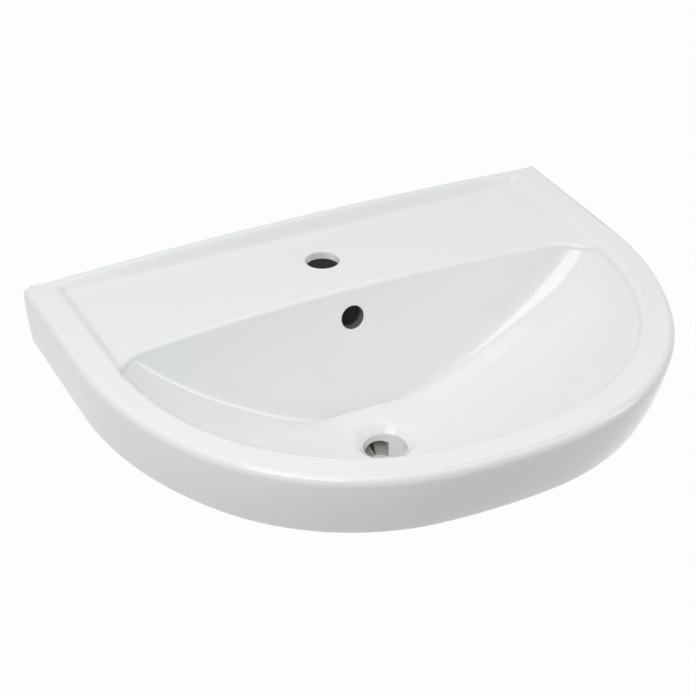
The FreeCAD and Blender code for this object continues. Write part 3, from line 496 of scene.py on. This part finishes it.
class SolidFaces:
    """The triangles of the solid's mesh, in millimetres in the frame: their corners, middle, unit
    normal, level, and direction and distance from the drain's axis."""

    def __init__(self, node):
        source = bpy.data.objects[node].data
        points = np.empty(len(source.vertices) * 3)
        source.vertices.foreach_get("co", points)
        self.points = points.reshape(-1, 3) * 1000.0
        corners = np.empty(len(source.loops), np.int64)
        source.loops.foreach_get("vertex_index", corners)
        self.triangles = corners.reshape(-1, 3)
        first, second, third = (self.points[self.triangles[:, number]] for number in range(3))
        facing = np.cross(second - first, third - first)
        self.facing = facing / np.maximum(np.linalg.norm(facing, axis=1, keepdims=True), 1e-9)
        self.middle = self.points[self.triangles].mean(1)
        self.x, self.y = self.middle[:, 0], self.middle[:, 1]
        self.level = RIM_Z - self.middle[:, 2]
        self.angle = np.arctan2(self.y - DRAIN_Y, self.x)
        self.radius = np.hypot(self.x, self.y - DRAIN_Y)
        self.rim = outline_reach(self.angle, *outer_curve())
        self.back = (self.facing[:, 1] > BACKWARD) & (self.y > -1.0)

    def under_skin(self):
        """The faces that the drawn upper side stands in for."""
        x, y, level = self.x, self.y, self.level
        up = self.facing[:, 2] > UPWARD
        top = up & (level < SAME)
        deck = up & (np.abs(level - DECK_DEPTH) < SAME)
        ledge = up & (np.abs(level + LIP_Z) < 2.0 * SAME) & (self.radius < LEDGE_R)
        inside_rim = np.where(y > -RIM_STRAIGHT, np.abs(x) < STRAIGHT_X,
                              self.rim - self.radius > FRONT_INSET)
        inner_top = (level < DECK_DEPTH + 0.2) & ~self.back & inside_rim
        margin = np.where(level > FLOOR_LEVEL, NEAR_FLOOR, NEAR_WALL)
        near_bowl = self.radius < bowl_reach(level, self.angle) + margin
        inward = (self.facing * (HIGH_POINT - self.middle)).sum(1) > 0.0
        cavity = near_bowl & inward & (level < -LIP_Z + 2.0 * SAME)
        tap = np.abs(np.hypot(x, y - TAP_Y) - TAP_R) < SAME_ROUND
        tap &= level < -CEILING_Z + SAME
        overflow = np.abs(np.hypot(x, level + OVERFLOW_Z) - OVERFLOW_R) < SAME_ROUND
        overflow &= (y > OVERFLOW_FROM) & (y < OVERFLOW_TO)
        return top | deck | ledge | inner_top | cavity | tap | overflow

    def glazed(self):
        """The apron, the straight sides, the rim's rounding, the apron's foot and the bore."""
        x, level, up = self.x, self.level, self.facing[:, 2]
        away = (self.facing[:, 0] * x + self.facing[:, 1] * (self.y - DRAIN_Y)) / self.radius
        inset = self.rim + RIM_ROUND - self.radius
        least, gain = APRON_INSET
        taper = least + gain * np.clip(level / APRON, 0.0, 1.2) ** 1.5
        shell = (away > 0.05) & (inset < taper) & (level < APRON_END)
        outer = (np.abs(self.facing[:, 0]) > 0.5) & (self.facing[:, 0] * x > 0.0)
        side = outer & (np.abs(x) > SIDE_X)
        rounding = (level < RIM_ROUND + 1.0) & (up > 0.05)
        foot = (level > FOOT_LEVEL) & (up < -0.05) & (up > -0.9) & (inset < FOOT_INSET)
        bore = (self.radius < BORE_R + 1.0) & (level > BORE_LEVEL)
        return (shell | side | rounding | foot | bore) & ~self.back

    def painted_shade_faces(self):
        """The faces behind the bowl's back wall and under the deck, but for the lower edges, which
        get painted shade.
        """
        lower_edge = (self.facing[:, 2] < -0.5) & (self.level > EDGE_LEVEL)
        behind = self.y > back_wall(self.level, self.x) + HOLLOW_GAP
        return (behind & ~self.back & ~lower_edge & (self.level > HOLLOW_LEVEL)
                & (np.abs(self.x) < HOLLOW_HALF))


def lower_side():
    """The solid's own faces where the upper side doesn't cover them: apron, underside, hollow.
    Gives points, triangles and the material of each triangle.  Points that fall together are
    merged, and a triangle whose height, twice its area over its longest side, is too small is
    dropped."""
    solid = SolidFaces("basin_body")
    points, index = np.unique(np.round(solid.points, 3), axis=0, return_inverse=True)
    triangles = index.reshape(-1)[solid.triangles]
    first, second, third = (points[triangles[:, number]] for number in range(3))
    double_area = np.linalg.norm(np.cross(second - first, third - first), axis=1)
    longest = np.linalg.norm(points[triangles] - points[np.roll(triangles, 1, 1)], axis=2).max(1)
    keep = ~solid.under_skin() & (double_area > THINNEST * longest)
    # Faces in the hollow get painted shade: a dark copy of the bare clay.
    slots = np.where(solid.glazed(), GLAZE, np.where(solid.painted_shade_faces(), PAINTED_SHADE, BARE))
    return points, triangles[keep], slots[keep]


def make_ware(materials):
    """The upper side and the solid's lower faces as one mesh, in metres in the frame."""
    skin = Skin()
    build_upper(skin)
    upper, quads, upper_slots = skin.arrays()
    lower, triangles, lower_slots = lower_side()
    points = np.concatenate([upper + [0.0, 0.0, RIM_Z], lower]) / 1000.0
    mesh = bpy.data.meshes.new("basin_ware")
    mesh.from_pydata(points.tolist(), [], quads.tolist() + (triangles + len(upper)).tolist())
    for material in materials:
        mesh.materials.append(material)
    slots = np.concatenate([upper_slots, lower_slots]).astype(np.int32)
    mesh.polygons.foreach_set("material_index", slots)
    mesh.polygons.foreach_set("use_smooth", np.ones(len(slots), bool))
    mesh.set_sharp_from_angle(angle=math.radians(SHARP_ANGLE))
    ware = bpy.data.objects.new("basin_ware", mesh)
    bpy.context.scene.collection.objects.link(ware)
    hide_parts("basin_body")
    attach(ware, "root")


# ---------------------------------------------------------------- shader maths

class Wire:
    """A socket that adds Math nodes when it is used in an expression."""

    def __init__(self, graph, socket):
        self.graph, self.socket = graph, socket

    def _math(self, operation, first, second):
        return self.graph.node("ShaderNodeMath", {"operation": operation}, {0: first, 1: second})

    def __add__(self, other):
        return self._math("ADD", self, other)

    __radd__ = __add__

    def __sub__(self, other):
        return self._math("SUBTRACT", self, other)

    def __rsub__(self, other):
        return self._math("SUBTRACT", other, self)

    def __mul__(self, other):
        return self._math("MULTIPLY", self, other)

    __rmul__ = __mul__

    def greater(self, other):
        """The greater of two values."""
        return self._math("MAXIMUM", self, other)

    def over(self, low, high, start=0.0, end=1.0):
        """From start to end, eased, as the value goes from low to high."""
        return self.graph.node("ShaderNodeMapRange", {"interpolation_type": "SMOOTHSTEP"},
                               {0: self, 1: low, 2: high, 3: start, 4: end})


class Graph:
    """The nodes of one material or world."""

    def __init__(self, owner):
        owner.use_nodes = True
        self.owner = owner
        self.nodes = owner.node_tree.nodes
        self.links = owner.node_tree.links

    def node(self, kind, settings, sockets, out=0):
        """Adds a node.  Its settings are set first, then the values or links of its sockets,
        which are named or numbered."""
        made = self.nodes.new(kind)
        for key, setting in settings.items():
            setattr(made, key, setting)
        self.fill(made, sockets)
        return Wire(self, made.outputs[out])

    def fill(self, made, sockets):
        """Sets or links sockets of a node."""
        for key, given in sockets.items():
            socket = made.inputs[key]
            if isinstance(given, Wire):
                self.links.new(given.socket, socket)
            elif socket.type == "RGBA":
                socket.default_value = (*given, 1.0)
            else:
                socket.default_value = given

    @cached_property
    def place(self):
        """The point on the piece, in its own coordinates."""
        return self.node("ShaderNodeTexCoord", {}, {}, "Object")

    def noise(self, scale, detail=2.0, roughness=0.5):
        """Fractal noise, from 0 to 1, over the piece."""
        return self.node("ShaderNodeTexNoise", {}, {"Vector": self.place, "Scale": scale,
                                                    "Detail": detail, "Roughness": roughness})

    def blend(self, share, first, second):
        """A share of the way from the first colour to the second."""
        return self.node("ShaderNodeMix", {"data_type": "RGBA"}, {0: share, 6: first, 7: second}, 2)

    def bump(self, height, depth, strength):
        """A normal tilted by a height, of which one unit is depth metres."""
        return self.node("ShaderNodeBump", {},
                         {"Strength": strength, "Distance": depth, "Height": height})

    def surface(self, sockets):
        """Fills the Principled shader and gives the material."""
        self.fill(self.nodes["Principled BSDF"], sockets)
        return self.owner

    def show(self, share, first, second, output):
        """Puts a mix of two shaders on the output."""
        mixed = self.node("ShaderNodeMixShader", {}, {0: share, 1: first, 2: second})
        self.fill(self.nodes[output], {"Surface": mixed})


def material_graph(name):
    """The graph of a new material."""
    return Graph(bpy.data.materials.new(name))


def glaze():
    """White vitreous glaze: a faint warm and cool drift, long soft waves, fine orange peel and a
    few pinholes."""
    graph = material_graph("white_glaze")
    drift = graph.noise(3.2, 2.0)
    fine = graph.noise(26.0, 3.0)
    colour = graph.blend(drift.over(0.35, 0.65), (0.845, 0.858, 0.860), (0.868, 0.874, 0.868))
    pits = graph.node("ShaderNodeTexVoronoi", {"feature": "F1"},
                      {"Vector": graph.place, "Scale": 46.0}, "Distance")
    pinhole = 1.0 - pits.over(0.010, 0.028)
    colour = graph.blend(pinhole * 0.28, colour, (0.52, 0.50, 0.46))
    waves = graph.noise(9.0, 1.0)
    peel = graph.noise(210.0, 2.0)
    height = waves * 0.55 + peel * 0.018 - pinhole * 0.12
    return graph.surface({"Base Color": colour, "Roughness": 0.045 + fine * 0.05, "IOR": 1.52,
                          "Specular IOR Level": 0.5, "Normal": graph.bump(height, 0.0008, 0.40)})


def bare_clay(name, pale, deep, speck_colour):
    """Unglazed fired clay: mottled, matt and grainy, with dark specks."""
    graph = material_graph(name)
    cloud = graph.noise(11.0, 4.0, 0.6)
    speck = graph.noise(420.0, 2.0)
    colour = graph.blend(cloud.over(0.3, 0.7), deep, pale)
    colour = graph.blend(speck.over(0.60, 0.72) * 0.5, colour, speck_colour)
    grain = graph.noise(900.0, 3.0, 0.7)
    height = grain * 0.6 + cloud * 0.8
    return graph.surface({"Base Color": colour, "Roughness": 0.72 + cloud * 0.2,
                          "Normal": graph.bump(height, 0.0004, 0.7)})


def zinc():
    """Zinc plate: bluish bright metal with cloudy spangle, fine turning lines and dull spots."""
    graph = material_graph("zinc_plate")
    spangle = graph.noise(240.0, 3.0, 0.6)
    cloud = graph.noise(60.0, 2.0)
    colour = graph.blend(spangle.over(0.35, 0.7), (0.56, 0.58, 0.61), (0.72, 0.73, 0.74))
    colour = graph.blend(cloud.over(0.58, 0.75) * 0.5, colour, (0.45, 0.43, 0.37))
    lines = graph.node("ShaderNodeTexWave", {"wave_type": "BANDS", "bands_direction": "Y"},
                       {"Vector": graph.place, "Scale": 700.0, "Distortion": 0.6,
                        "Detail": 1.0}, 1)
    height = lines * 0.5 + spangle * 0.3
    return graph.surface({"Base Color": colour, "Metallic": 1.0,
                          "Roughness": 0.26 + spangle * 0.22,
                          "Normal": graph.bump(height, 0.00012, 0.5)})


def nylon():
    """Moulded nylon: off-white grey, silky, with faint flow marks and a fine grain."""
    graph = material_graph("grey_nylon")
    flow = graph.noise(34.0, 3.0, 0.55)
    grain = graph.noise(1500.0, 2.0)
    colour = graph.blend(flow.over(0.3, 0.7), (0.56, 0.57, 0.56), (0.66, 0.66, 0.64))
    height = flow * 0.6 + grain * 0.4
    return graph.surface({"Base Color": colour, "Roughness": 0.42 + flow * 0.16,
                          "Normal": graph.bump(height, 0.00015, 0.5)})


def pale_floor():
    """Pale floor: nearly all white glow to the camera and in reflections, plain paint to the
    light."""
    graph = material_graph("pale_floor")
    rays = graph.node("ShaderNodeLightPath", {}, {}, "Is Camera Ray")
    seen = rays.greater(graph.node("ShaderNodeLightPath", {}, {}, "Is Glossy Ray"))
    graph.surface({"Base Color": (0.80, 0.80, 0.80), "Roughness": 0.9})
    paint = Wire(graph, graph.nodes["Principled BSDF"].outputs[0])
    glow = graph.node("ShaderNodeEmission", {}, {"Color": (1.0, 1.0, 1.0)})
    graph.show(seen * 0.96, paint, glow, "Material Output")
    return graph.owner


def dress_fixings():
    """Zinc and nylon on the pieces that hang the basin on the wall."""
    for material, pieces in ((zinc(), ("hanger_bolt", "washer", "hex_nut")),
                             (nylon(), ("wall_plug", "fixing_bush"))):
        for name in [f"{side}_{piece}" for side in ("left", "right") for piece in pieces]:
            for holder in bpy.data.objects[name].material_slots:
                holder.material = material


# ---------------------------------------------------------------- stage, lights and camera

def make_stage():
    """A floor far below the basin, large enough to fill the picture."""
    corners = [(x * FLOOR_REACH, y * FLOOR_REACH, FLOOR_Z)
               for x, y in ((-1, -1), (1, -1), (1, 1), (-1, 1))]
    mesh = bpy.data.meshes.new("floor")
    mesh.from_pydata(corners, [], [(0, 1, 2, 3)])
    mesh.materials.append(pale_floor())
    floor = bpy.data.objects.new("floor", mesh)
    bpy.context.scene.collection.objects.link(floor)


def make_world():
    """A pale room that dims toward the front and is plain white to the camera.  Its strength
    goes from 0.64 to 0.26, eased, as the dot product of a direction with the front's goes from
    0.45 to 0.98."""
    world = bpy.data.worlds.new("studio")
    bpy.context.scene.world = world
    graph = Graph(world)
    direction = graph.node("ShaderNodeTexCoord", {}, {}, "Generated")
    toward_front = graph.node("ShaderNodeVectorMath", {"operation": "DOT_PRODUCT"},
                              {0: direction, 1: (0.10, -0.99, -0.05)}, "Value")
    background = graph.nodes["Background"]
    graph.fill(background, {"Color": (0.98, 0.99, 1.0),
                            "Strength": toward_front.over(0.45, 0.98, 0.64, 0.26)})
    plain = graph.node("ShaderNodeBackground", {}, {"Color": (1.0, 1.0, 1.0)})
    seen = graph.node("ShaderNodeLightPath", {}, {}, "Is Camera Ray")
    graph.show(seen, Wire(graph, background.outputs[0]), plain, "World Output")


def make_lamp(name, place, size, power):
    """A rectangle lamp that points at the basin."""
    lamp = bpy.data.lights.new(name, "AREA")
    lamp.shape = "RECTANGLE"
    lamp.size, lamp.size_y = size
    lamp.energy = power
    holder = bpy.data.objects.new(name, lamp)
    bpy.context.scene.collection.objects.link(holder)
    holder.location = place
    aim = Vector((0.0, -0.2, 0.0)) - Vector(place)
    holder.rotation_euler = aim.to_track_quat("-Z", "Y").to_euler()


def make_camera():
    """The photograph's view: from the user's left, above the rim."""
    azimuth, elevation = math.radians(-26.62), math.radians(32.456)
    distance, shift_left, shift_down = 1.960206, 0.040713, 0.001100
    back = Vector((math.sin(azimuth) * math.cos(elevation),
                   -math.cos(azimuth) * math.cos(elevation), math.sin(elevation)))
    right = Vector((math.cos(azimuth), math.sin(azimuth), 0.0))
    up = back.cross(right)
    aim = Vector((0.0, -0.220, 0.040))
    lens = bpy.data.cameras.new("camera")
    lens.lens, lens.sensor_width = 103.07, 36.0
    camera = bpy.data.objects.new("camera", lens)
    bpy.context.scene.collection.objects.link(camera)
    turned = Matrix((right, up, back)).transposed().to_4x4()
    turned.translation = aim + back * distance - right * shift_left - up * shift_down
    camera.matrix_world = turned
    bpy.context.scene.camera = camera


make_ware([glaze(),
           bare_clay("bare_clay", (0.56, 0.54, 0.50), (0.45, 0.43, 0.39), (0.24, 0.21, 0.18)),
           # Painted shade: a dark copy of the bare clay for the hollow and the overflow's duct,
           # where little light reaches.
           bare_clay("painted_shade_clay", (0.16, 0.155, 0.145), (0.10, 0.096, 0.088),
                     (0.06, 0.055, 0.05))])
dress_fixings()
make_stage()
make_world()
make_lamp("overhead", (0.0, -0.1, 1.7), (1.5, 0.9), 4.0)
make_lamp("left_softbox", (-1.05, -0.95, 1.35), (1.1, 1.0), 11.0)
make_lamp("right_strip", (1.4, -0.9, 0.7), (0.35, 0.9), 2.2)
make_camera()
bpy.context.scene.view_settings.view_transform = "Standard"
